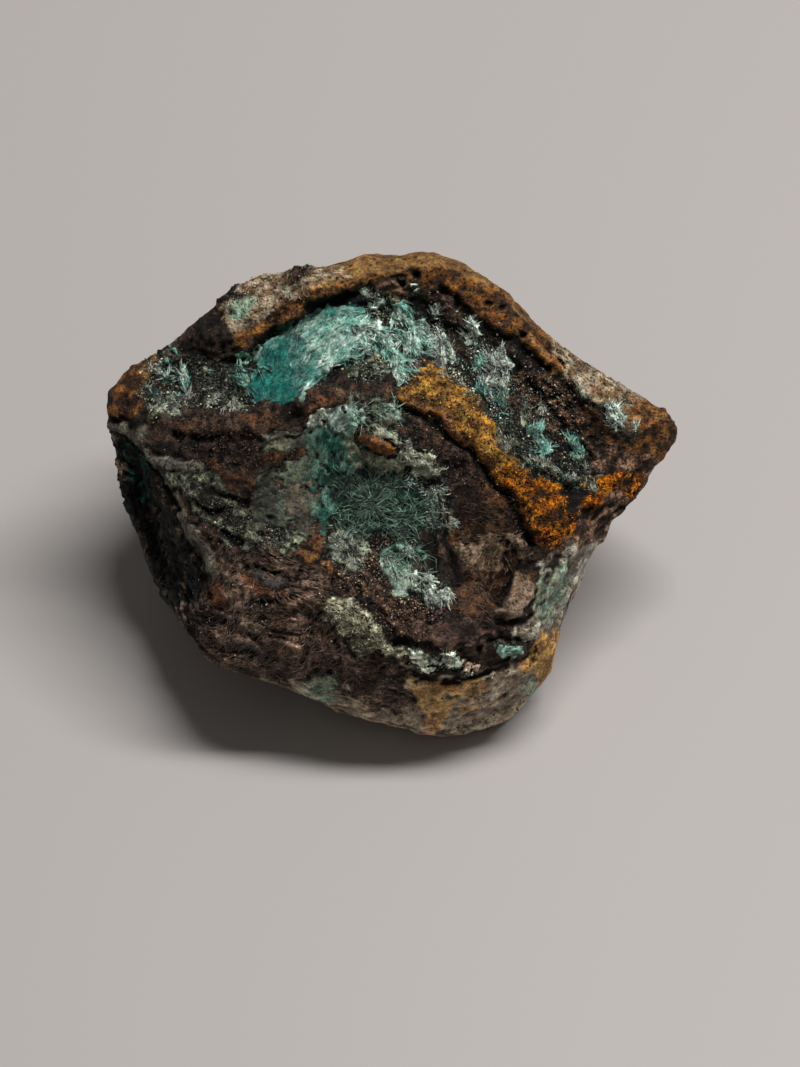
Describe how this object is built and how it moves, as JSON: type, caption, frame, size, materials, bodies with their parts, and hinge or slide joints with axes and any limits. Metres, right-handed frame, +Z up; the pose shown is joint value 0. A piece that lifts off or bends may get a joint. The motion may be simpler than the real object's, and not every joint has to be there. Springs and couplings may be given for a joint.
{
  "type": "aurichalcite nodule",
  "caption": "Fist-sized lump of brown limonite, broken open on one side, with teal aurichalcite crusts in the hollows of the broken face; rests on a flat underside.",
  "frame": {"origin": "on the resting plane, under the middle of the bounding box", "axes": "+X along the stone's length, +Z up, and the broken face looks towards -Y and up"},
  "size_m": [0.0816, 0.0594, 0.0522],
  "materials": {
    "limonite": "rough, earthy, dull brown rock with ochre and rust-red patches",
    "aurichalcite": "silky teal to white needles in radiating sprays"
  },
  "bodies": {
    "root": {"limonite_nodule": "limonite", "upper_hollow_crust": "aurichalcite", "centre_hollow_crust": "aurichalcite", "right_trough_crust": "aurichalcite", "left_pocket_crust": "aurichalcite", "lower_groove_crust": "aurichalcite"}
  },
  "joints": []
}
